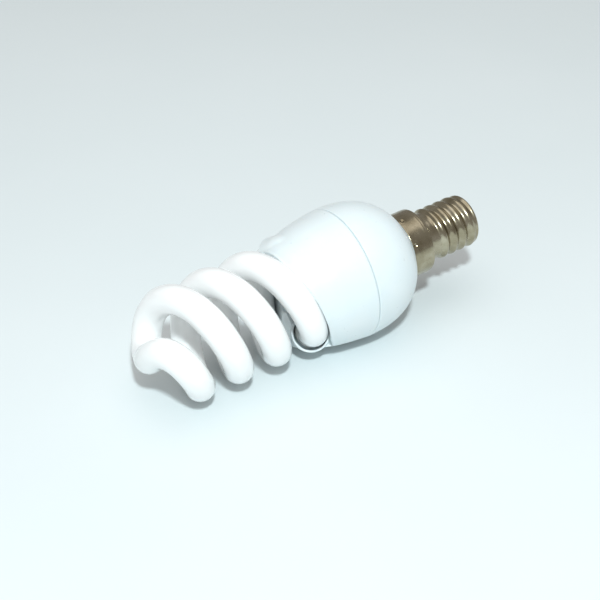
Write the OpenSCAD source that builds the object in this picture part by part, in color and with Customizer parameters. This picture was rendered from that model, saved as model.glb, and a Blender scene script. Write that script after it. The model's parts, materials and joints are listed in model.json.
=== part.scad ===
// Spiral compact fluorescent lamp with a small screw cap, lying on its side.
// Every part is drawn in the lamp's own frame: its axis is Z, the bottom
// contact is at 0 and the spiral is at the top. place() then lays it down.

/* [Cap] */
// Diameter over the crests of the screw thread
thread_d = 13.86; // [13.70:0.02:13.88]
// Diameter of the plain skirt of the cap
skirt_d = 17; // [16.8:0.1:17.2]
// Thickness of the cap's sheet metal
cap_wall = 0.3; // [0.25:0.01:0.32]

/* [Housing] */
// Largest diameter of the housing, at the seam
seam_d = 34.2; // [33.4:0.2:35.4]
// Distance of the seam from the bottom contact
seam_z = 40.7; // [40.3:0.1:41.2]
// Thickness of the housing's plastic
wall = 1.3; // [1.2:0.05:1.5]

/* [Spiral tube] */
// Diameter of the glass tube
tube_d = 7.36; // [7.2:0.04:7.4]
// Radius of the spiral, measured to the middle of the tube
coil_r = 11.17; // [11.05:0.02:11.25]
// Advance of each of the two spirals in one turn
coil_pitch = 21.47; // [21.3:0.01:21.7]
// Rise of the bridge at the tip above the end of the spirals
tip_rise = 7.2; // [6:0.1:8]

/* [Resting position] */
// Turn of the lamp about its own axis
roll = 60.8; // [0:0.1:360]

/* [Hidden] */
$fn = 72;
crest_z = [3.43, 6.252, 9.074, 11.896];
root_d = thread_d - 1.5;
rt = tube_d / 2;
tip_z = 87.75;                   // where both spirals end and the bridge begins
tip_a = 3;                       // direction of that end
turns = 1.55;                    // of each spiral outside the housing
inner_turns = 0.1;               // of each spiral inside it
end_z = 58.5;                    // highest point of the housing's end
neck_z = 23.4;                   // where the housing meets the skirt
board_z = 43.2;                  // underside of the circuit board
board_t = 1.2;

// ---- the spiral's middle line -------------------------------------------
function z_at(t) = tip_z + coil_pitch * t;
// where it enters the housing it draws in a little towards the axis
function draw_in(t) = let (d = max(0, 0.1 - turns - t)) 10 * d * d / (d + 0.02);
function spiral(t, w = 0, dr = 0, dz = 0) = let (a = tip_a + 360 * t + w,
    r = coil_r + dr - draw_in(t)) [r * cos(a), r * sin(a), z_at(t) + dz];
// the bridge is two half ellipses in an S, rising to the axis
function bridge(s) = let (u = s * 180, p = coil_r / 2 * (1 + cos(u)),
    q = bow * coil_r / 2 * sin(u), h = tip_rise * (1 - pow(1 - s, 1.2)))
    [p * cos(tip_a) - q * sin(tip_a), p * sin(tip_a) + q * cos(tip_a), tip_z + h];
t_in = -turns - inner_turns;
bow = 1.22;
n_turn = 62;
n_half = 10;
half_path = concat([for (i = [0 : n_turn]) spiral(t_in - t_in * i / n_turn)],
    [for (i = [1 : n_half]) bridge(i / n_half)]);
full_path = concat(half_path,
    [for (i = [len(half_path) - 2 : -1 : 0])
        [-half_path[i][0], -half_path[i][1], half_path[i][2]]]);

// ---- sweeping a round section along a line of points ---------------------
function unit(v) = v / norm(v);
function last(p) = len(p) - 1;
function tangent(p, i) = unit(p[min(i + 1, last(p))] - p[max(i - 1, 0)]);
function carried(n, t) = unit(n - (n * t) * t);
function frames(p) = [for (i = 0, n = carried([0.1, 0.2, 1], tangent(p, 0));
    i < len(p); i = i + 1, n = i < len(p) ? carried(n, tangent(p, i)) : n) n];
function ring_points(p, r, sides) = let (f = frames(p))
    [for (i = [0 : last(p)]) let (t = tangent(p, i), n = f[i], b = cross(t, n),
        rr = is_list(r) ? r[i] : r)
        for (j = [0 : sides - 1]) let (a = 360 * j / sides)
            p[i] + rr * (cos(a) * n + sin(a) * b)];
function tube_faces(rings, sides) = concat(
    [[for (j = [0 : sides - 1]) j]],
    [for (i = [0 : rings - 2], j = [0 : sides - 1]) let (k = (j + 1) % sides)
        each [[i * sides + j, (i + 1) * sides + j, (i + 1) * sides + k],
              [i * sides + j, (i + 1) * sides + k, i * sides + k]]],
    [[for (j = [sides - 1 : -1 : 0]) (rings - 1) * sides + j]]);
module sweep(p, r, sides = 20) {
    polyhedron(ring_points(p, r, sides), tube_faces(len(p), sides), 4);
}
// a round rod between two points
module rod(a, b, d) {
    v = b - a;
    translate(a) rotate([0, acos(v[2] / norm(v)), atan2(v[1], v[0])])
        cylinder(d = d, h = norm(v), $fn = 16);
}

// ---- the housing's outline ----------------------------------------------
seam_r = seam_d / 2;
dome_h = 18.4;
function dome_r(z) = seam_r *
    pow(max(0, 1 - pow(max(0, min(1, (seam_z - z) / dome_h)), 2.5)), 0.4);
taper = [[0, 0], [4.3, 0.5], [9.3, 1.35], [13, 2.45], [15.8, 3.3],
    [17.3, 4.3], [18.2, 5.9], [18.6, 7.6]];
low_line = [for (z = [neck_z, 24.1, 24.9, 25.8, 27, 28.5, 30.2, 32.2, 34.5,
    37, seam_z]) [dome_r(z), z]];
up_line = [for (p = taper) [seam_r - p[1], seam_z + p[0]]];

// the upper half is a shell whose end is two ramps, one under each spiral;
// each ramp runs down to a step wall with the socket in it
hub_z = 55;
draft = 3;
function up_r(z) = lookup(z, [for (p = up_line) [p[1], p[0]]]);
function tube_z(b) = z_at(-turns + b / 360);
// height of the outer edge, with a notch beside the socket
function edge_z(b) = min(end_z, tube_z(b) - 2.75 - 0.8 * pow(max(0, 1 - b / 25), 2));
// the channel in which the tube lies, at a distance r from the axis
function channel_z(b, r) = let (x = min(r - coil_r, 3.3), g = rt + 0.35)
    min(edge_z(b), tube_z(b) - sqrt(g * g - x * x));
function steps(a, b, n) = [for (i = [0 : n]) a + (b - a) * i / n];
function shell_line(b) = let (ze = edge_z(b), zf = channel_z(b, coil_r),
    zb = seam_z + 0.12, w = wall, u = up_r(ze - 0.6),
    zi = channel_z(b > 170 ? 0 : b, coil_r) - w,
    k = max(-1, min(1, (zi + w - hub_z) / 1.5)))
    concat([[seam_r - w, zb], [seam_r - 0.35, zb]],
        [for (f = [0, 0.18, 0.36, 0.54, 0.7, 0.84, 0.93, 1])
            let (z = zb + 0.35 + (ze - 0.6 - zb - 0.35) * f) [up_r(z), z]],
        [[u - 0.12, ze - 0.2], [u - 0.4, ze]],
        [for (r = [min(13.3, u - 0.7), min(12.3, u - 1.4)]) [r, channel_z(b, r)]],
        [[coil_r, zf], [7, zf], [3.4, zf], [3.1, hub_z], [0.6, hub_z]],
        [[0.6, hub_z - w], [3.2 + k * w - 0.2, hub_z - w], [3.2 + k * w + 0.2, zi],
         [7, zi], [up_r(zi) - w - 1, zi], [up_r(zi) - w - 0.1, zi - 0.9],
         [up_r((zi + zb) / 2) - w, (zi + zb) / 2]]);
n_line = 26;
shell_b = concat(steps(0, 162, 17), [168, 173, 180 - draft]);
n_b = 2 * len(shell_b);
function shell_points() = [for (w = [0, 180], b = shell_b)
    let (a = tip_a - 360 * turns + w + b) for (p = shell_line(b))
        [p[0] * cos(a), p[0] * sin(a), p[1]]];
function shell_faces() = concat(
    [for (i = [0 : n_b - 1], j = [0 : n_line - 1]) if (j != 18)
        let (n = (i + 1) % n_b, k = (j + 1) % n_line)
        each [[i * n_line + j, n * n_line + j, n * n_line + k],
              [i * n_line + j, n * n_line + k, i * n_line + k]]],
    [[for (i = [n_b - 1 : -1 : 0]) i * n_line + 18]],
    [[for (i = [0 : n_b - 1]) i * n_line + 19]]);

// a round hood and its mouth, laid along the spiral where it enters
module along(w, t) {
    a = tip_a + 360 * t + w;
    r = coil_r - draw_in(t);
    translate([r * cos(a), r * sin(a), z_at(t)]) rotate([0, 0, a])
        rotate([-90 + atan(coil_pitch / (2 * PI * coil_r)), 0, 0]) children();
}
module hood(w) {
    along(w, -turns) translate([0, -0.35, 0]) rotate([0, 10, 0])
        rotate_extrude($fn = 48) polygon([[0, -8.2], [2.9, -8.2], [4, -6.4],
            [4.6, -4.7], [4.85, -3.2], [4.9, -2], [4.9, 0.5], [4.75, 0.7], [0, 0.7]]);
}
module hood_hole(w) {
    along(w, -turns) translate([0, -0.35, -3.2])
        cylinder(r = 4.35, h = 6.8, $fn = 48);
    sweep([for (i = [0 : 9]) spiral(-turns + 0.012 - i * 0.02, w)], rt + 0.25, 20);
}

module upper_housing() place() color([0.95, 0.97, 0.98]) {
    difference() {
        union() {
            polyhedron(shell_points(), shell_faces(), 4);
            hood(0);
            hood(180);
        }
        hood_hole(0);
        hood_hole(180);
    }
}

module lower_housing() place() color([0.94, 0.97, 0.98]) {
    difference() {
        union() {
            rotate_extrude() polygon(concat([[0, 18.3], [skirt_d / 2 - 0.9, 18.3],
                [skirt_d / 2 - cap_wall - 0.1, 18.9],
                [skirt_d / 2 - cap_wall - 0.1, neck_z]], low_line,
                [[seam_r - 0.35, seam_z + 0.02], [0, seam_z + 0.02]]));
            // the inner rim that snaps into the upper half
            translate([0, 0, seam_z - 1]) cylinder(r = seam_r - wall - 0.1, h = 3.4);
        }
        rotate_extrude() polygon(concat([[0, 17], [skirt_d / 2 - 2, 17],
            [skirt_d / 2 - 2, neck_z + 0.3]],
            [for (i = [2 : len(low_line) - 1]) [low_line[i][0] - wall - 0.2,
                low_line[i][1] + 0.6 * (1 - i / (len(low_line) - 1))]],
            [[seam_r - wall - 1.1, seam_z + 0.2], [seam_r - wall - 1.1, seam_z + 4],
             [0, seam_z + 4]]));
    }
}

// ---- the screw cap --------------------------------------------------------
cr = thread_d / 2;
rr = root_d / 2;
// outer line of the pressed shell, from the lip at the insulator to the skirt
shell_out = concat([[5.35, 1.95], [5.9, 1.75], [6.35, 1.95], [6.62, 2.45]],
    [for (z = crest_z) each [[cr - 0.12, z - 0.45], [cr, z - 0.22], [cr, z + 0.22],
        [cr - 0.12, z + 0.45], [rr + 0.2, z + 0.98], [rr, z + 1.2],
        [rr, z + 1.6]]],
    [[rr + 0.12, 14.2], [rr + 0.16, 16.3], [rr + 0.5, 16.9],
     [skirt_d / 2 - 0.55, 17.3], [skirt_d / 2 - 0.12, 17.55],
     [skirt_d / 2, 17.95]]);
module screw_shell() place() color([0.62, 0.57, 0.45]) {
    w = cap_wall;
    n = len(shell_out);
    inner = [for (i = [n - 1 : -1 : 0]) let (
        a = shell_out[max(i - 1, 0)], b = shell_out[min(i + 1, n - 1)],
        d = unit(b - a)) shell_out[i] + w * [-d[1], d[0]]];
    rotate_extrude() polygon(concat(shell_out,
        [[skirt_d / 2, neck_z - 0.05], [skirt_d / 2 - w, neck_z - 0.05]], inner));
}
module cap_insulator() place() color([0.88, 0.88, 0.84]) {
    rotate_extrude() polygon([[1.2, 0.75], [2.4, 0.62], [3.3, 0.75], [4.6, 1.35],
        [5.3, 1.9], [5.45, 2.3], [5.85, 2.75], [5.85, 3.6], [5.2, 4.4],
        [1.2, 4.4]]);
}
module centre_contact() place() color([0.75, 0.72, 0.66]) {
    // the pressed disc with a blob of solder over the lead's end
    rotate_extrude() polygon([[0, 0], [0.9, 0.06], [1.7, 0.26], [2.3, 0.5],
        [2.42, 0.6], [1.18, 0.7], [1.18, 2.2], [0.5, 2.2], [0.5, 1], [0, 1]]);
}

module tube_cement(w) {
    difference() {
        sweep([for (i = [0 : 3]) spiral(-turns - 0.012 - i * 0.007, w)],
            rt + 0.24, 20);
        sweep([for (i = [-1 : 4]) spiral(-turns - 0.012 - i * 0.007, w)],
            rt + 0.03, 20);
    }
}
module tube_cement_a() place() color([0.97, 0.97, 0.95]) tube_cement(0);
module tube_cement_b() place() color([0.97, 0.97, 0.95]) tube_cement(180);

module spiral_tube() place() color([1, 1, 1]) {
    sweep(full_path, rt, 20);
}

// ---- what is sealed inside -------------------------------------------------
module ballast_board() place() color([0.72, 0.6, 0.38]) {
    difference() {
        translate([0, 0, board_z]) cylinder(r = 14.2, h = board_t);
        for (a = pin_a) translate([pin_r * cos(a), pin_r * sin(a), board_z - 1])
            cylinder(d = 0.9, h = 4, $fn = 16);
        translate([-13.8, 3, board_z - 1]) cylinder(d = 1.2, h = 4, $fn = 16);
        translate([-13.8, -3, board_z - 1]) cylinder(d = 1.2, h = 4, $fn = 16);
    }
}
pin_r = 12.4;
e_a = tip_a + 360 * t_in;       // where a spiral ends inside the housing
pin_a = [e_a - 14, e_a - 32, e_a + 166, e_a + 148];
module board_pins() place() color([0.8, 0.8, 0.78]) {
    for (a = pin_a) translate([pin_r * cos(a), pin_r * sin(a), board_z - 1.5])
        cylinder(d = 0.8, h = 6, $fn = 16);
}
module filament_leads() place() color([0.75, 0.74, 0.7]) {
    for (k = [0 : 3]) {
        w = k < 2 ? 0 : 180;
        e = spiral(t_in, w, k % 2 == 0 ? 0.9 : -0.9, -0.55);
        a = pin_a[k];
        p = [pin_r * cos(a), pin_r * sin(a), board_z + 3.2];
        q = [(pin_r - 0.68) * cos(a), (pin_r - 0.68) * sin(a), board_z + 3.2];
        rod(e, q, 0.4);
        translate(p - [0, 0, 0.8]) rotate_extrude() translate([0.66, 0])
            square([0.3, 1.1]);
    }
}
module smoothing_capacitor() place() color([0.15, 0.2, 0.45]) {
    translate([0, 0, 25]) {
        difference() {
            cylinder(r = 4, h = 14);
            difference() {
                translate([0, 0, 11.6]) cylinder(r = 5, h = 0.8);
                translate([0, 0, 11.5]) cylinder(r = 3.7, h = 1);
            }
        }
        for (x = [-1.25, 1.25]) translate([x, 0, 13.9])
            cylinder(d = 0.6, h = board_z - 38.92, $fn = 16);
    }
}
module choke_core() place() color([0.2, 0.19, 0.19]) {
    translate([-9.6, 0, 31]) difference() {
        translate([-2.8, -6.4, 0]) cube([5.6, 12.8, 11.4]);
        for (s = [-1, 1]) translate([-3, s * 3.6 - 1.3, 2.2]) cube([6, 2.6, 7]);
    }
}
module choke_winding() place() color([0.7, 0.38, 0.2]) {
    // coil on its bobbin round the middle leg of the core
    translate([-9.6, 0, 33.3]) difference() {
        intersection() {
            translate([-3.6, -4.8, 0]) cube([7.2, 9.6, 6.8]);
            cylinder(r = 4.75, h = 6.8);
        }
        translate([-2.9, -2.4, -1]) cube([5.8, 4.8, 9]);
    }
}
module drive_toroid() place() color([0.16, 0.3, 0.2]) {
    translate([8.3, 4.6, 38.2]) rotate_extrude() polygon([[2.1, 0.3], [2.4, 0],
        [4, 0], [4.3, 0.3], [4.3, 4.2], [4, 4.5], [2.4, 4.5], [2.1, 4.2]]);
}
module transistor(x, y, a) {
    translate([x, y, 0]) rotate([0, 0, a]) {
        translate([0, 0, 36]) difference() {
            cylinder(d = 4.8, h = 4.8);
            translate([-3, 1.3, -1]) cube([6, 3, 7]);
        }
        for (k = [-1 : 1]) translate([k * 1.27, 0, 40.78])
            cylinder(d = 0.5, h = board_z - 40.8, $fn = 16);
    }
}
module transistor_a() place() color([0.13, 0.13, 0.14]) transistor(4.6, -11, 20);
module transistor_b() place() color([0.13, 0.13, 0.14]) transistor(-2, 10.2, 190);
module film_cap(x, y, a, l, w, h) {
    translate([x, y, board_z - 1.2 - h]) rotate([0, 0, a]) {
        translate([-l / 2 + w / 2, 0, 0]) cylinder(d = w, h = h);
        translate([l / 2 - w / 2, 0, 0]) cylinder(d = w, h = h);
        translate([-l / 2 + w / 2, -w / 2, 0]) cube([l - w, w, h]);
        for (s = [-1, 1]) translate([s * (l / 2 - 1.3), 0, h - 0.1])
            cylinder(d = 0.5, h = 1.28, $fn = 16);
    }
}
module resonance_capacitor() place() color([0.62, 0.16, 0.1])
    film_cap(9.6, -4.6, 75, 8.2, 3.8, 8);
module start_capacitor() place() color([0.15, 0.35, 0.2])
    film_cap(-1.6, -9.7, 8, 6.4, 3, 6.4);
module axial(x, y, a, d, l, pitch) {
    translate([x, y, board_z - d / 2 - 0.35]) rotate([0, 0, a]) {
        rotate([0, 90, 0]) translate([0, 0, -l / 2]) cylinder(d = d, h = l, $fn = 24);
        for (s = [-1, 1]) translate([s * pitch / 2, 0, -0.25])
            cylinder(d = 0.5, h = d / 2 + 0.58, $fn = 16);
        for (s = [-1, 1]) translate([s * (l / 2 - 0.1) - (s < 0 ? pitch / 2 - l / 2 + 0.1 : 0), 0, 0])
            rotate([0, 90, 0]) cylinder(d = 0.5, h = pitch / 2 - l / 2 + 0.1, $fn = 16);
    }
}
module rectifier_diodes() place() color([0.1, 0.1, 0.11]) {
    axial(4.6, 11.4, 155, 2.3, 4.2, 7);
    axial(-7.4, 9.3, 130, 2.3, 4.2, 7);
    axial(-7.2, -9.9, 55, 2.3, 4.2, 7);
    axial(0.6, 6.2, 0, 2.3, 4.2, 7);
}
module resistors() place() color([0.8, 0.65, 0.45]) {
    axial(0.8, -5.7, 5, 1.7, 3.4, 6);
    axial(5.3, 0.2, 90, 1.7, 3.4, 6);
    axial(12, 0.9, 90, 1.7, 3.4, 5.6);
}
module fuse_resistor() place() color([0.85, 0.84, 0.8]) {
    // stands in a sleeve beside the smoothing capacitor
    translate([6, -2.5, 0]) {
        translate([0, 0, 26.5]) cylinder(d = 2.6, h = 6);
        translate([0, 0, 32.4]) cylinder(d = 0.6, h = 0.9, $fn = 16);
        translate([0, 0, 24.2]) cylinder(d = 0.6, h = 2.4, $fn = 16);
    }
}
module filter_inductor() place() color([0.25, 0.22, 0.2]) {
    translate([7.6, 5.4, 27.6]) rotate_extrude() polygon([[0, 0], [3, 0], [3, 1],
        [2.4, 1.2], [2.4, 6], [3, 6.2], [3, 7.2], [0, 7.2]]);
}
module live_wire() place() color([0.75, 0.5, 0.3]) {
    rod([0, 0, 1.05], [0, 0, 15], 0.7);
    rod([0, 0, 14.8], [2.4, -3.4, 20], 0.7);
    rod([2.3, -3.35, 19.7], [5, -3.6, 23.8], 0.7);
}
module neutral_wire() place() color([0.2, 0.35, 0.7]) {
    rod([-5.9, 1.5, 18.6], [-5.4, 2, 24], 0.7);
    rod([-5.4, 2, 23.9], [-12.6, 2.9, 32.4], 0.7);
    rod([-12.6, 2.9, 32.3], [-13.8, 3, 44.6], 0.7);
}

// ---- laying the lamp down ---------------------------------------------------
// it rests on the seam's circle and on the spiral nearest the tip
lay = asin((seam_r - coil_r - rt) / 43.1);
function world(p) = let (x = p[0] * cos(roll) - p[1] * sin(roll),
    y = p[0] * sin(roll) + p[1] * cos(roll), b = -90 - lay)
    [x * cos(b) + p[2] * sin(b), y, -x * sin(b) + p[2] * cos(b)];
low_tube = min([for (p = full_path) world(p)[2]]) - rt;
low_seam = -seam_z * sin(lay) - seam_r * cos(lay);
lift = -min(low_tube, low_seam);
x_tip = min([for (p = full_path) world(p)[0]]) - rt;
x_cap = (1.95 + 0) * -cos(lay) + 6 * sin(lay);
module place() {
    translate([-(x_tip + x_end) / 2, -(y_a + y_b) / 2, lift])
        rotate([0, -90 - lay, 0]) rotate([0, 0, roll]) children();
}
x_end = 0.05;
y_a = -seam_r;
y_b = seam_r;

spiral_tube();
upper_housing();
lower_housing();
screw_shell();
cap_insulator();
centre_contact();
tube_cement_a();
tube_cement_b();
ballast_board();
smoothing_capacitor();
choke_core();
choke_winding();
drive_toroid();
transistor_a();
transistor_b();
resonance_capacitor();
start_capacitor();
rectifier_diodes();
resistors();
fuse_resistor();
filter_inductor();
board_pins();
filament_leads();
live_wire();
neutral_wire();
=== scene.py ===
import json
import math

import bmesh
import bpy
import numpy as np
from mathutils import Matrix, Vector

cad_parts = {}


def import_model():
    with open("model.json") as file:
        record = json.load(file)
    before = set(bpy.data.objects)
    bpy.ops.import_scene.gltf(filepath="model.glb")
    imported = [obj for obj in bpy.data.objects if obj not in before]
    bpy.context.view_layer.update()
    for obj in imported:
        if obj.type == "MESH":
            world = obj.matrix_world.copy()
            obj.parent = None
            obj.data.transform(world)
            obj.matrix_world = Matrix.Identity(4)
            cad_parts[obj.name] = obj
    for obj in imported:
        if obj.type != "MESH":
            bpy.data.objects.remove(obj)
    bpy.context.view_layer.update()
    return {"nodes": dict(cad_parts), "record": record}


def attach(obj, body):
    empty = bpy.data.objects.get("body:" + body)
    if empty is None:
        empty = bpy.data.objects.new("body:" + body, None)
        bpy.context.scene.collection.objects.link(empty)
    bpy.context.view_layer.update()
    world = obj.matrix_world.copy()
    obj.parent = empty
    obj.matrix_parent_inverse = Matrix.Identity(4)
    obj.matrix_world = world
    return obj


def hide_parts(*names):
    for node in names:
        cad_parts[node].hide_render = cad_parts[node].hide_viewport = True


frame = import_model()

# ---------------------------------------------------------------- dimensions
# millimetres, in the lamp's own frame: Z is its axis, 0 the bottom contact
RT = 3.68            # radius of the glass tube
CR = 11.17           # radius of the spiral's middle line
PITCH = 21.47
TIP_Z, TIP_A = 87.75, 3.0
RISE, BOW, EASE = 7.2, 1.22, 1.2
TURNS = 1.55
SEAM_R, SEAM_Z, WALL = 17.1, 40.7, 1.3
END_Z, HUB_Z = 58.5, 55.0
NECK_Z = 23.4
SKIRT_R = 8.5
CREST_R, ROOT_R = 6.93, 6.18
LAY = math.asin((SEAM_R - CR - RT) / 43.1)
ROLL = math.radians(60.8)
SHIFT = (49.2253, 0.0, 19.2014)

_b = -math.pi / 2 - LAY
_ry = np.array([[math.cos(_b), 0, math.sin(_b)], [0, 1, 0], [-math.sin(_b), 0, math.cos(_b)]])
_rz = np.array([[math.cos(ROLL), -math.sin(ROLL), 0], [math.sin(ROLL), math.cos(ROLL), 0], [0, 0, 1]])
PLACE = _ry @ _rz


def world(p):
    """Lamp frame in mm to scene in metres."""
    return (np.asarray(p, float) @ PLACE.T + np.array(SHIFT)) / 1000.0


# ---------------------------------------------------------------- mesh tools
def mesh_object(name, verts, faces, smooth=True, sharp=None, lamp=True):
    me = bpy.data.meshes.new(name)
    v = world(verts) if lamp else np.asarray(verts, float)
    me.from_pydata([tuple(q) for q in v], [], [tuple(int(i) for i in f) for f in faces])
    me.update()
    bm = bmesh.new()
    bm.from_mesh(me)
    bmesh.ops.remove_doubles(bm, verts=bm.verts, dist=1e-7)
    bmesh.ops.recalc_face_normals(bm, faces=bm.faces)
    bm.to_mesh(me)
    bm.free()
    ob = bpy.data.objects.new(name, me)
    bpy.context.scene.collection.objects.link(ob)
    if smooth:
        finish_shading(ob, sharp)
    return ob


def finish_shading(ob, sharp=None):
    for poly in ob.data.polygons:
        poly.use_smooth = True
    if sharp is not None:
        ob.data.set_sharp_from_angle(angle=math.radians(sharp))


def grid_faces(nu, nv, close_u=True, close_v=True):
    f = []
    for i in range(nu if close_u else nu - 1):
        for j in range(nv if close_v else nv - 1):
            a, b = i * nv + j, ((i + 1) % nu) * nv + j
            c, d = ((i + 1) % nu) * nv + (j + 1) % nv, i * nv + (j + 1) % nv
            f.append((a, b, c, d))
    return f


def revolve(name, line, n=160, closed=True, sharp=35, radius=None):
    """A closed (r, z) line turned about the lamp's axis; radius(r, z, a) may move it."""
    line = np.asarray(line, float)
    verts = []
    for i in range(n):
        a = 2 * math.pi * i / n
        for r, z in line:
            q = radius(r, z, a) if radius else r
            verts.append((q * math.cos(a), q * math.sin(a), z))
    return mesh_object(name, verts, grid_faces(n, len(line), True, closed), sharp=sharp)


def rounded(points, size=0.25, steps=4):
    """A closed (r, z) polygon with its corners rounded."""
    pts = [np.array(p, float) for p in points]
    out = []
    for i, p in enumerate(pts):
        a, b = pts[i - 1], pts[(i + 1) % len(pts)]
        s = size[i] if isinstance(size, (list, tuple)) else size
        da, db = a - p, b - p
        la, lb = np.linalg.norm(da), np.linalg.norm(db)
        s = min(s, la * 0.45, lb * 0.45)
        if s < 1e-4:
            out.append(p)
            continue
        p0, p2 = p + da / la * s, p + db / lb * s
        for k in range(steps + 1):
            t = k / steps
            out.append((1 - t) ** 2 * p0 + 2 * t * (1 - t) * p + t * t * p2)
    return np.array(out)


def smooth_line(points, per=6):
    """A curve through the points, open, without overshoot."""
    p = np.asarray(points, float)
    t = np.r_[0, np.cumsum(np.linalg.norm(np.diff(p, axis=0), axis=1))]
    m = np.gradient(p, t, axis=0)
    out = []
    for i in range(len(p) - 1):
        h = t[i + 1] - t[i]
        for k in range(per):
            s = k / per
            out.append((2 * s ** 3 - 3 * s ** 2 + 1) * p[i] + (s ** 3 - 2 * s ** 2 + s) * h * m[i]
                       + (-2 * s ** 3 + 3 * s ** 2) * p[i + 1] + (s ** 3 - s ** 2) * h * m[i + 1])
    out.append(p[-1])
    return np.array(out)


def sweep(name, path, radius, sides=48, caps=True, sharp=60):
    path = np.asarray(path, float)
    n = len(path)
    radius = np.broadcast_to(np.asarray(radius, float), (n,))
    tan = np.gradient(path, axis=0)
    tan /= np.linalg.norm(tan, axis=1)[:, None]
    nrm = np.array([0.1, 0.2, 1.0])
    verts = []
    for i in range(n):
        nrm = nrm - tan[i] * (nrm @ tan[i])
        nrm /= np.linalg.norm(nrm)
        bi = np.cross(tan[i], nrm)
        for j in range(sides):
            a = 2 * math.pi * j / sides
            verts.append(path[i] + radius[i] * (math.cos(a) * nrm + math.sin(a) * bi))
    faces = grid_faces(n, sides, False, True)
    if caps:
        faces.append(tuple(range(sides)))
        faces.append(tuple((n - 1) * sides + j for j in range(sides - 1, -1, -1)))
    return mesh_object(name, verts, faces, sharp=sharp)


def boolean(ob, other, kind):
    m = ob.modifiers.new("b", "BOOLEAN")
    m.operation = kind
    m.solver = "EXACT"
    m.object = other
    dg = bpy.context.evaluated_depsgraph_get()
    me = bpy.data.meshes.new_from_object(ob.evaluated_get(dg))
    ob.modifiers.clear()
    old = ob.data
    ob.data = me
    bpy.data.meshes.remove(old)
    tool = other.data
    bpy.data.objects.remove(other)
    bpy.data.meshes.remove(tool)


# ---------------------------------------------------------------- materials
def principled(name):
    m = bpy.data.materials.new(name)
    m.use_nodes = True
    nt = m.node_tree
    bsdf = next(n for n in nt.nodes if n.type == "BSDF_PRINCIPLED")
    return m, nt, bsdf


def link(nt, a, b):
    nt.links.new(a, b)


def node(nt, kind, **inputs):
    n = nt.nodes.new(kind)
    for k, v in inputs.items():
        n.inputs[k.replace("_", " ")].default_value = v
    return n


def noise(nt, scale, detail=4.0, rough=0.55, stretch=None):
    tc = nt.nodes.new("ShaderNodeTexCoord")
    out = tc.outputs["Object"]
    if stretch is not None:
        mp = nt.nodes.new("ShaderNodeMapping")
        mp.inputs["Rotation"].default_value = stretch[0]
        mp.inputs["Scale"].default_value = stretch[1]
        link(nt, out, mp.inputs["Vector"])
        out = mp.outputs["Vector"]
    n = nt.nodes.new("ShaderNodeTexNoise")
    n.inputs["Scale"].default_value = scale
    n.inputs["Detail"].default_value = detail
    n.inputs["Roughness"].default_value = rough
    link(nt, out, n.inputs["Vector"])
    return n.outputs["Fac"]


def ramp(nt, fac, stops):
    r = nt.nodes.new("ShaderNodeValToRGB")
    el = r.color_ramp.elements
    while len(el) < len(stops):
        el.new(0.5)
    for e, (pos, col) in zip(el, stops):
        e.position = pos
        e.color = (*col, 1.0) if len(col) == 3 else col
    link(nt, fac, r.inputs["Fac"])
    return r.outputs["Color"]


def map_range(nt, fac, lo, hi, a=0.3, b=0.7):
    m = nt.nodes.new("ShaderNodeMapRange")
    m.inputs["From Min"].default_value = a
    m.inputs["From Max"].default_value = b
    m.inputs["To Min"].default_value = lo
    m.inputs["To Max"].default_value = hi
    link(nt, fac, m.inputs["Value"])
    return m.outputs["Result"]


def bump(nt, bsdf, fac, strength, distance, before=None):
    b = nt.nodes.new("ShaderNodeBump")
    b.inputs["Strength"].default_value = strength
    b.inputs["Distance"].default_value = distance
    link(nt, fac, b.inputs["Height"])
    if before is not None:
        link(nt, before, b.inputs["Normal"])
    link(nt, b.outputs["Normal"], bsdf.inputs["Normal"])
    return b.outputs["Normal"]


def simple(name, c1, c2, rough=(0.35, 0.5), metallic=0.0, scale=900, bump_s=0.15, bump_d=2e-5,
           coat=0.0, fine=5000, stretch=None, sub=0.0):
    m, nt, p = principled(name)
    link(nt, ramp(nt, noise(nt, scale, stretch=stretch), [(0.3, c1), (0.7, c2)]), p.inputs["Base Color"])
    link(nt, map_range(nt, noise(nt, scale * 1.7), *rough), p.inputs["Roughness"])
    p.inputs["Metallic"].default_value = metallic
    if coat:
        p.inputs["Coat Weight"].default_value = coat
        p.inputs["Coat Roughness"].default_value = 0.08
    if sub:
        p.inputs["Subsurface Weight"].default_value = sub
        p.inputs["Subsurface Radius"].default_value = (0.004, 0.003, 0.003)
        p.inputs["Subsurface Scale"].default_value = 0.3
    bump(nt, p, noise(nt, fine), bump_s, bump_d)
    return m


def glass_white():
    # clear glass over a white powder coat on its inside
    m, nt, p = principled("tube_white_coated_glass")
    cloud = noise(nt, 160, 3.0)
    link(nt, ramp(nt, cloud, [(0.3, (0.965, 0.975, 0.97)), (0.7, (0.985, 0.985, 0.98))]), p.inputs["Base Color"])
    link(nt, map_range(nt, noise(nt, 420), 0.34, 0.46), p.inputs["Roughness"])
    p.inputs["Coat Weight"].default_value = 1.0
    p.inputs["Coat Roughness"].default_value = 0.035
    p.inputs["Coat IOR"].default_value = 1.5
    p.inputs["Subsurface Weight"].default_value = 0.25
    p.inputs["Subsurface Radius"].default_value = (0.004, 0.004, 0.004)
    p.inputs["Subsurface Scale"].default_value = 0.4
    bump(nt, p, noise(nt, 260, 2.0), 0.06, 6e-5)
    return m


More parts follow.
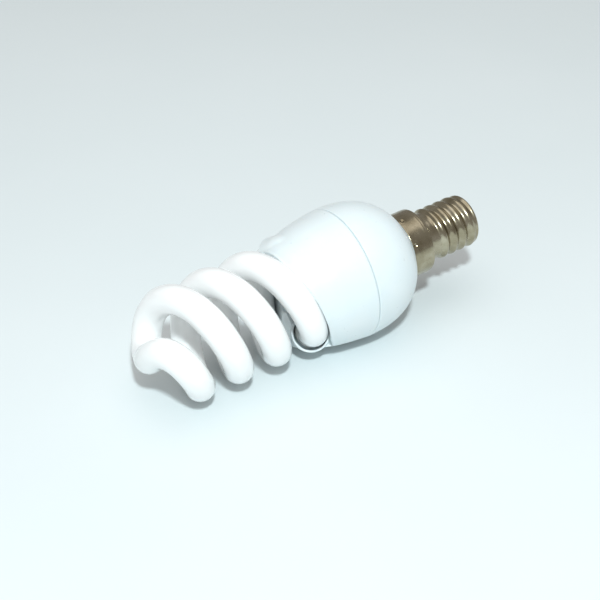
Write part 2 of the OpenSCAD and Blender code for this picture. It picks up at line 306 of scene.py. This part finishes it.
def housing_plastic():
    m, nt, p = principled("housing_white_moulded_plastic")
    link(nt, ramp(nt, noise(nt, 110, 3.0), [(0.3, (0.745, 0.82, 0.84)), (0.7, (0.775, 0.835, 0.85))]),
         p.inputs["Base Color"])
    link(nt, map_range(nt, noise(nt, 700), 0.27, 0.38), p.inputs["Roughness"])
    p.inputs["Specular IOR Level"].default_value = 0.45
    p.inputs["Subsurface Weight"].default_value = 0.2
    p.inputs["Subsurface Radius"].default_value = (0.003, 0.0035, 0.004)
    p.inputs["Subsurface Scale"].default_value = 0.4
    first = bump(nt, p, noise(nt, 2600, 5.0), 0.10, 1.5e-5)
    bump(nt, p, noise(nt, 140, 2.0), 0.05, 8e-5, before=first)
    return m


def cap_metal():
    # nickel plate over brass, a little dull and warm, with marks from rolling
    m, nt, p = principled("cap_nickel_plated_brass")
    rot = (0.0, -LAY, 0.0)
    tone = ramp(nt, noise(nt, 240, 5.0), [(0.28, (0.27, 0.23, 0.15)), (0.5, (0.38, 0.335, 0.235)),
                                          (0.72, (0.50, 0.455, 0.345))])
    link(nt, tone, p.inputs["Base Color"])
    p.inputs["Metallic"].default_value = 1.0
    link(nt, map_range(nt, noise(nt, 900, 6.0), 0.17, 0.30), p.inputs["Roughness"])
    first = bump(nt, p, noise(nt, 500, 6.0, 0.6, stretch=(rot, (7.0, 0.6, 0.6))), 0.18, 3e-5)
    bump(nt, p, noise(nt, 4200, 3.0), 0.12, 1e-5, before=first)
    return m


MATS = {
    "white_glass": glass_white(),
    "housing": housing_plastic(),
    "cap_metal": cap_metal(),
    "insulator": simple("cap_insulator_pale_glass", (0.78, 0.79, 0.76), (0.86, 0.86, 0.83), (0.18, 0.3), coat=0.5),
    "contact": simple("contact_tinned_metal", (0.52, 0.5, 0.46), (0.68, 0.66, 0.62), (0.25, 0.45), metallic=1.0,
                      scale=1400, bump_s=0.4, bump_d=4e-5, fine=2200),
    "cement": simple("socket_cement", (0.78, 0.79, 0.77), (0.88, 0.88, 0.86), (0.6, 0.8), bump_s=0.5, bump_d=6e-5,
                     fine=2500),
    "board": simple("board_paper_laminate", (0.45, 0.33, 0.17), (0.56, 0.43, 0.25), (0.4, 0.55), coat=0.2),
    "capacitor_sleeve": simple("capacitor_sleeve", (0.03, 0.05, 0.16), (0.05, 0.08, 0.22), (0.25, 0.35), coat=0.4),
    "ferrite": simple("ferrite_core", (0.035, 0.033, 0.033), (0.07, 0.066, 0.064), (0.5, 0.7), bump_s=0.4,
                      bump_d=4e-5),
    "copper": simple("copper_wire", (0.62, 0.25, 0.1), (0.78, 0.38, 0.18), (0.2, 0.35), metallic=1.0,
                     bump_s=0.5, bump_d=6e-5, fine=2600, stretch=((0, 0, 0), (0.3, 1, 5))),
    "toroid": simple("toroid_coating", (0.04, 0.14, 0.07), (0.06, 0.2, 0.1), (0.3, 0.45), coat=0.3),
    "black_epoxy": simple("moulded_epoxy", (0.015, 0.015, 0.017), (0.035, 0.035, 0.038), (0.4, 0.6)),
    "red_film": simple("dipped_red_lacquer", (0.32, 0.03, 0.015), (0.42, 0.05, 0.02), (0.12, 0.2), coat=0.8),
    "green_film": simple("dipped_green_lacquer", (0.02, 0.12, 0.04), (0.04, 0.18, 0.06), (0.15, 0.25), coat=0.8),
    "tan_lacquer": simple("resistor_lacquer", (0.5, 0.36, 0.18), (0.6, 0.46, 0.26), (0.25, 0.35), coat=0.4),
    "sleeve": simple("woven_sleeve", (0.6, 0.6, 0.56), (0.72, 0.72, 0.68), (0.7, 0.9), bump_s=0.8, bump_d=1e-4),
    "leads": simple("tinned_wire", (0.55, 0.54, 0.52), (0.72, 0.71, 0.69), (0.2, 0.35), metallic=1.0),
    "blue_wire": simple("wire_insulation_blue", (0.02, 0.06, 0.3), (0.04, 0.1, 0.4), (0.3, 0.4)),
}


def dress(ob, slot):
    ob.data.materials.clear()
    ob.data.materials.append(MATS[slot])


def piece(ob, slot, *nodes):
    dress(ob, slot)
    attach(ob, "root")
    if nodes:
        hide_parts(*nodes)
    return ob


SLOT_OF = {s["node"]: s["material_slot"] for s in frame["record"]["subparts"]}
for name, ob in frame["nodes"].items():
    if name in SLOT_OF and ob.data:
        slot = SLOT_OF[name]
        for i in range(len(ob.material_slots)):
            ob.material_slots[i].material = MATS[slot]


# ---------------------------------------------------------------- the spiral tube
def draw_in(t):
    d = max(0.0, 0.1 - TURNS - t)
    return 10 * d * d / (d + 0.02)


def spiral(t, w=0.0, dr=0.0, dz=0.0):
    a = math.radians(TIP_A + 360 * t + w)
    r = CR + dr - draw_in(t)
    return np.array([r * math.cos(a), r * math.sin(a), TIP_Z + PITCH * t + dz])


def bridge(s):
    u, d = math.pi * s, math.radians(TIP_A)
    p, q = CR / 2 * (1 + math.cos(u)), BOW * CR / 2 * math.sin(u)
    return np.array([p * math.cos(d) - q * math.sin(d), p * math.sin(d) + q * math.cos(d),
                     TIP_Z + RISE * (1 - (1 - s) ** EASE)])


half = [spiral(t) for t in np.linspace(-TURNS - 0.1, 0, 330)] + [bridge(s) for s in np.linspace(0, 1, 47)[1:]]
half = np.array(half)
path = np.vstack([half, (half * np.array([-1, -1, 1]))[-2::-1]])
# ease the joins between spiral and bridge, as bent glass has them
for _ in range(60):
    q = path.copy()
    q[1:-1] = 0.25 * path[:-2] + 0.5 * path[1:-1] + 0.25 * path[2:]
    keep = np.zeros(len(path), bool)
    keep[:60] = keep[-60:] = True
    q[keep] = path[keep]
    path = q
# hand-bent glass: the bore of a bent tube is never quite even
arc = np.r_[0, np.cumsum(np.linalg.norm(np.diff(path, axis=0), axis=1))]
tube_r = RT + 0.012 * np.sin(arc * 0.35) + 0.01 * np.sin(arc * 0.83 + 1.0) - 0.01
tube = piece(sweep("tube_glass", path, tube_r, sides=56), "white_glass", "spiral_tube")

# ---------------------------------------------------------------- housing, coil side
TAPER = np.array([[0, 0], [4.3, 0.5], [9.3, 1.35], [13, 2.45], [15.8, 3.3], [17.3, 4.3], [18.2, 5.9], [18.6, 7.6]])
_fine = smooth_line(np.c_[SEAM_Z + TAPER[:, 0], SEAM_R - TAPER[:, 1]], 12)


def up_r(z):
    return float(np.interp(z, _fine[:, 0], _fine[:, 1]))


def ease(x):
    x = max(0.0, min(1.0, x))
    return x * x * (3 - 2 * x)


def soft_min(a, b, k=0.5):
    h = max(0.0, min(1.0, 0.5 + 0.5 * (a - b) / k))
    return a * (1 - h) + b * h - k * h * (1 - h)


def tube_z(b):
    return TIP_Z + PITCH * (-TURNS + b / 360.0)


def edge_z(b):
    """Height of the outer edge, with a notch beside the socket."""
    return soft_min(END_Z, tube_z(b) - 2.75 - 0.8 * max(0.0, 1 - b / 25.0) ** 2)


def channel_z(b, r):
    """The channel in which the tube lies."""
    x, g = min(r - CR, 3.3), RT + 0.35
    return soft_min(edge_z(b), tube_z(b) - math.sqrt(g * g - x * x), 0.25)


def step(b, f, *more):
    """f(b), eased down the step wall to its value on the next ramp."""
    return f(b, *more) + (f(0, *more) - f(b, *more)) * ease((b - 176.4) / 3.6)


def shell_line(b):
    ze, zf = step(b, edge_z), step(b, channel_z, CR)
    zb, w = SEAM_Z + 0.1, WALL
    zi = channel_z(0 if b > 170 else b, CR) - w
    k = max(-1.0, min(1.0, (zi + w - HUB_Z) / 1.5))
    fr = 0.55
    out = [(SEAM_R - w, zb), (SEAM_R - 0.5, zb), (SEAM_R - 0.5, zb + 0.1), (SEAM_R - 0.13, zb + 0.15),
           (up_r(zb + 0.3) - 0.01, zb + 0.28)]
    n = 22
    for i in range(1, n + 1):
        z = zb + 0.32 + (ze - fr - zb - 0.32) * i / n
        out.append((up_r(z), z))
    r0 = up_r(ze - fr)
    for i in range(1, 9):
        a = math.pi / 2 * i / 8
        out.append((r0 - fr * 0.8 * (1 - math.cos(a)), ze - fr + fr * math.sin(a)))
    r1 = r0 - fr * 0.8 - 0.12
    for i in range(8):
        r = r1 + (CR - r1) * i / 7
        out.append((r, step(b, channel_z, r)))
    for r in (9.0, 7.0, 5.0):
        out.append((r, zf))
    s = 1 if zf > HUB_Z else -1
    out += [(3.9, zf), (3.55, zf - 0.1 * s), (3.35, zf - 0.35 * s if abs(zf - HUB_Z) > 0.9 else (zf + HUB_Z) / 2),
            (3.15, HUB_Z + (0.1 * s if s > 0 else -0.25)), (2.8, HUB_Z), (0.5, HUB_Z)]
    out += [(0.5, HUB_Z - w), (3.2 + k * w - 0.2, HUB_Z - w), (3.2 + k * w + 0.2, zi), (7, zi),
            (up_r(zi) - w - 1, zi), (up_r(zi) - w - 0.1, zi - 0.9), (up_r((zi + zb) / 2) - w, (zi + zb) / 2)]
    return out


angles = list(np.linspace(0, 166, 112)) + [168.5, 170.5, 172.0, 173.2, 174.2, 175.0, 175.7] + \
    list(np.linspace(176.2, 179.75, 13))
rings, cap_top, cap_low = [], [], []
L = len(shell_line(10.0))
inner_at = L - 8
for w in (0, 180):
    for b in angles:
        a = math.radians(TIP_A - 360 * TURNS + w + b)
        for r, z in shell_line(b):
            rings.append((r * math.cos(a), r * math.sin(a), z))
NB = 2 * len(angles)
faces = []
for i in range(NB):
    n = (i + 1) % NB
    for j in range(L):
        if j == inner_at:
            continue
        k = (j + 1) % L
        faces.append((i * L + j, n * L + j, n * L + k, i * L + k))
faces.append(tuple(i * L + inner_at for i in range(NB - 1, -1, -1)))
faces.append(tuple(i * L + inner_at + 1 for i in range(NB)))
upper = mesh_object("housing_coil_side", rings, faces)


def along(points, w, lean=0.0, n=72, side=-0.35):
    """Turns an (r, z) line about the tube's direction at the mouth of a socket."""
    t = -TURNS
    a = math.radians(TIP_A + 360 * t + w)
    slope = math.atan(PITCH / (2 * math.pi * CR))
    rz = np.array([[math.cos(a), -math.sin(a), 0], [math.sin(a), math.cos(a), 0], [0, 0, 1]])
    c = -math.pi / 2 + slope
    rx = np.array([[1, 0, 0], [0, math.cos(c), -math.sin(c)], [0, math.sin(c), math.cos(c)]])
    d = math.radians(lean)
    ry = np.array([[math.cos(d), 0, math.sin(d)], [0, 1, 0], [-math.sin(d), 0, math.cos(d)]])
    r = CR - draw_in(t)
    base = np.array([r * math.cos(a), r * math.sin(a), TIP_Z + PITCH * t])
    verts = []
    for i in range(n):
        u = 2 * math.pi * i / n
        for r, z in points:
            verts.append(base + rz @ rx @ (ry @ np.array([r * math.cos(u), r * math.sin(u), z]) + [0, side, 0]))
    m = len(points)
    faces = grid_faces(n, m, True, False)
    faces.append(tuple(i * m for i in range(n - 1, -1, -1)))
    faces.append(tuple(i * m + m - 1 for i in range(n)))
    return verts, faces


for w in (0, 180):
    hood = [(1.9, -8.1), (2.8, -7.9), (3.5, -7.1), (4.1, -6.0), (4.5, -4.8), (4.76, -3.7), (4.86, -2.6), (4.89, -1.6),
            (4.89, 0.25), (4.86, 0.5), (4.77, 0.65), (4.66, 0.7)]
    v, f = along(hood, w, 10)
    boolean(upper, mesh_object("tool", v, f), "UNION")
for w in (0, 180):
    mouth = [(4.22, -3.2), (4.28, -2.0), (4.32, 0), (4.34, 0.4), (4.42, 0.58), (4.6, 0.8), (4.7, 4)]
    v, f = along(mouth, w)
    boolean(upper, mesh_object("tool", v, f), "DIFFERENCE")
    hole = sweep("tool", [spiral(t, w) for t in np.linspace(-TURNS + 0.02, -TURNS - 0.14, 24)], RT + 0.25, 40)
    boolean(upper, hole, "DIFFERENCE")
finish_shading(upper, 32)
piece(upper, "housing", "upper_housing")

# ---------------------------------------------------------------- housing, cap side


def dome_r(z):
    u = max(0.0, min(1.0, (SEAM_Z - z) / 18.4))
    return SEAM_R * max(0.0, 1 - u ** 2.5) ** 0.4


zs = [NECK_Z + 0.02, 23.6, 23.85, 24.15, 24.5, 24.9, 25.35, 25.8, 26.3, 26.9, 27.6, 28.3, 29.1, 30, 31, 32.1, 33.3, 34.6, 35.9,
      37.2, 38.4, 39.5, SEAM_Z - 0.32]
dome = [(dome_r(z), z) for z in zs] + [(SEAM_R - 0.01, SEAM_Z - 0.2), (SEAM_R - 0.13, SEAM_Z - 0.08),
                                       (SEAM_R - 0.5, SEAM_Z - 0.04), (SEAM_R - 0.5, SEAM_Z), (SEAM_R - WALL - 0.52, SEAM_Z + 0.02),
                                       (SEAM_R - WALL - 0.52, SEAM_Z + 2.3), (SEAM_R - WALL - 0.65, SEAM_Z + 2.4),
                                       (SEAM_R - WALL - 1.1, SEAM_Z + 2.4), (SEAM_R - WALL - 1.1, SEAM_Z + 0.2)]
inner = [(dome_r(z) - WALL - 0.2, z + 0.3) for z in (37, 34.5, 32.2, 30.2, 28.5, 27, 25.8)]
neck = [(SKIRT_R - 2, NECK_Z + 1.2), (SKIRT_R - 2, 18.4), (SKIRT_R - 0.9, 18.35), (SKIRT_R - 0.42, 18.9),
        (SKIRT_R - 0.42, NECK_Z - 0.05), (SKIRT_R - 0.1, NECK_Z - 0.01)]
piece(revolve("housing_cap_side", dome + inner + neck, 200, sharp=50), "housing", "lower_housing")

# ---------------------------------------------------------------- screw cap
THREAD = 2.822
LOW = math.radians(163.0)


def crest(z, a):
    """How far out the rolled thread stands, 0 to 1, on a right-hand helix."""
    ph = (z - 11.896) / THREAD - (a - LOW) / (2 * math.pi)
    return (0.5 + 0.5 * math.cos(2 * math.pi * ph)) ** 0.85


PUNCH = [(22.2, -66.2), (22.6, -116.8), (22.2, 24.0), (22.5, 113.0), (22.3, 170.0)]


def shell_radius(z, a):
    if z < 2.3:
        return None
    if z <= 14.6:
        fade = ease((z - 2.2) / 0.9) * (1 - ease((z - 13.2) / 1.3))
        edge = 6.55 if z < 5 else ROOT_R
        base = ROOT_R + (6.62 - ROOT_R) * (1 - ease((z - 2.2) / 1.6))
        return base + (CREST_R - base) * crest(z, a) * fade
    return None


low = [(5.35, 1.98), (5.5, 1.84), (5.72, 1.75), (5.95, 1.76), (6.2, 1.85), (6.42, 2.02), (6.56, 2.2)]
zth = list(np.arange(2.35, 14.6, 0.085))
up = smooth_line([(ROOT_R, 14.62), (ROOT_R + 0.05, 15.2), (ROOT_R + 0.1, 16.0), (ROOT_R + 0.22, 16.5),
                  (ROOT_R + 0.6, 16.88), (7.4, 17.12), (SKIRT_R - 0.5, 17.3), (SKIRT_R - 0.2, 17.45),
                  (SKIRT_R - 0.05, 17.65), (SKIRT_R, 17.95), (SKIRT_R, 18.4)], 3)
skirt_z = list(np.linspace(18.5, NECK_Z - 0.06, 34))
NA = 240
verts, count = [], None
for i in range(NA):
    a = 2 * math.pi * i / NA
    line = list(low)
    line += [(shell_radius(z, a), z) for z in zth]
    line += [tuple(p) for p in up]
    for z in skirt_z:
        r = SKIRT_R
        for pz, pa in PUNCH:
            d = abs((math.degrees(a) - pa + 180) % 360 - 180) * math.pi / 180 * SKIRT_R
            q = math.hypot(d, z - pz)
            if q < 1.1:
                r -= 0.32 * math.exp(-(q / 0.36) ** 2) - 0.07 * math.exp(-((q - 0.62) / 0.2) ** 2)
        r += 0.02 * math.exp(-((z - 18.6) / 0.25) ** 2)
        line.append((min(r, SKIRT_R + 0.06), z))
    line += [(SKIRT_R - 0.04, NECK_Z - 0.03), (SKIRT_R - 0.3, NECK_Z - 0.03), (SKIRT_R - 0.3, 18.1),
             (SKIRT_R - 0.6, 17.75), (7.2, 17.5), (ROOT_R + 0.1, 17.0), (ROOT_R - 0.2, 16.3), (ROOT_R - 0.3, 14.5),
             (ROOT_R - 0.3, 10), (ROOT_R - 0.3, 5), (ROOT_R - 0.25, 2.9), (5.35, 2.3)]
    count = len(line)
    verts += [(r * math.cos(a), r * math.sin(a), z) for r, z in line]
piece(mesh_object("cap_shell_with_thread", verts, grid_faces(NA, count), sharp=60), "cap_metal", "screw_shell")

ins = rounded([(1.2, 0.75), (2.4, 0.64), (3.3, 0.77), (4.6, 1.35), (5.28, 1.9), (5.3, 2.4), (5.8, 2.85), (5.8, 3.6),
               (5.2, 4.35), (1.2, 4.35)], 0.25)
piece(revolve("cap_insulator_disc", ins, 120, sharp=50), "insulator", "cap_insulator")


def blob(r, z, a):
    # solder left a little uneven over the end of the lead
    if z < 0.55 and r > 0.05:
        return r * (1 + 0.02 * math.sin(3 * a + 1) * (1 - r / 2.5) + 0.01 * math.sin(5 * a))
    return r


con = [(0.02, 0.0), (0.35, 0.0), (0.7, 0.03), (0.95, 0.12), (1.15, 0.24), (1.4, 0.27), (1.8, 0.33), (2.15, 0.42),
       (2.34, 0.52), (2.41, 0.6), (2.3, 0.66), (1.18, 0.7), (1.17, 2.2), (0.6, 2.2), (0.6, 1.0), (0.02, 1.0)]
piece(revolve("contact_with_solder", con, 96, sharp=50, radius=blob), "contact", "centre_contact")

# ---------------------------------------------------------------- cement in the sockets
for tag, w in (("a", 0), ("b", 180)):
    verts, n, m = [], 72, 0
    ts = np.linspace(-TURNS - 0.012, -TURNS - 0.033, 5)
    line = []
    for i in range(n):
        u = 2 * math.pi * i / n
        front = 0.10 * math.sin(3 * u + 1.3) + 0.07 * math.sin(7 * u)
        cols = []
        for k, t in enumerate(ts):
            p0 = spiral(t, w)
            d = spiral(t + 0.002, w) - spiral(t - 0.002, w)
            d /= np.linalg.norm(d)
            rad = np.array([p0[0], p0[1], 0.0])
            rad /= np.linalg.norm(rad)
            nn = rad - d * (rad @ d)
            nn /= np.linalg.norm(nn)
            bb = np.cross(d, nn)
            dirn = math.cos(u) * nn + math.sin(u) * bb
            push = d * front if k == 0 else 0
            cols.append((p0 + push, dirn))
        pts = [cols[0][0] + cols[0][1] * r for r in (RT + 0.03, RT + 0.09, RT + 0.17, RT + 0.24)]
        pts[0] = pts[0] + (cols[0][0] - cols[1][0]) * 0.25
        pts += [c[0] + c[1] * (RT + 0.24) for c in cols[1:]]
        pts += [c[0] + c[1] * (RT + 0.03) for c in cols[:0:-1]]
        m = len(pts)
        verts += pts
    piece(mesh_object("socket_cement_" + tag, verts, grid_faces(n, m), sharp=60), "cement", "tube_cement_" + tag)

# ---------------------------------------------------------------- floor, light, camera
def plane(name, size, loc, n=2):
    me = bpy.data.meshes.new(name)
    s = size / 2
    me.from_pydata([(-s, -s, 0), (s, -s, 0), (s, s, 0), (-s, s, 0)], [], [(0, 1, 2, 3)])
    ob = bpy.data.objects.new(name, me)
    ob.location = loc
    bpy.context.scene.collection.objects.link(ob)
    return ob


floor = plane("floor", 3.0, (0, 0, 0))
fm, nt, p = principled("floor_pale_paper")
link(nt, ramp(nt, noise(nt, 9, 4.0), [(0.3, (0.72, 0.775, 0.785)), (0.7, (0.745, 0.795, 0.805))]), p.inputs["Base Color"])
p.inputs["Roughness"].default_value = 0.75
bump(nt, p, noise(nt, 500), 0.05, 1e-4)
floor.data.materials.append(fm)

wd = bpy.data.worlds.new("studio")
bpy.context.scene.world = wd
wd.use_nodes = True
bg = next(n for n in wd.node_tree.nodes if n.type == "BACKGROUND")
bg.inputs["Color"].default_value = (0.97, 0.95, 0.935, 1.0)
bg.inputs["Strength"].default_value = 0.36


def area(name, loc, target, size, power, color=(1, 1, 1)):
    d = bpy.data.lights.new(name, "AREA")
    d.shape = "DISK"
    d.size = size
    d.energy = power
    d.color = color
    ob = bpy.data.objects.new(name, d)
    ob.location = loc
    ob.rotation_euler = (Vector(target) - Vector(loc)).to_track_quat("-Z", "Y").to_euler()
    bpy.context.scene.collection.objects.link(ob)
    return ob


area("key", (-0.185, -0.33, 0.51), (-0.03, -0.05, 0.0), 0.05, 3.05, (0.86, 0.97, 1.0))
area("overhead", (0.0, 0.05, 0.8), (0, 0, 0), 1.0, 2.3, (1.0, 0.975, 0.965))

cam = bpy.data.cameras.new("camera")
cam.sensor_width = 36.0
cam.sensor_fit = "HORIZONTAL"
cam.lens = 90.385
cam.clip_start = 0.01
cam.clip_end = 10
co = bpy.data.objects.new("camera", cam)
right = Vector((0.833338, -0.552763, -0.00059))
upv = Vector((0.329829, 0.496387, 0.803002))
fwd = Vector((0.443577, 0.669367, -0.595976))
m = Matrix.Identity(4)
for i in range(3):
    m[i][0], m[i][1], m[i][2] = right[i], upv[i], -fwd[i]
m[0][3], m[1][3], m[2][3] = -0.168022, -0.24836, 0.234917
co.matrix_world = m
bpy.context.scene.collection.objects.link(co)
bpy.context.scene.camera = co
bpy.context.scene.view_settings.view_transform = "Standard"
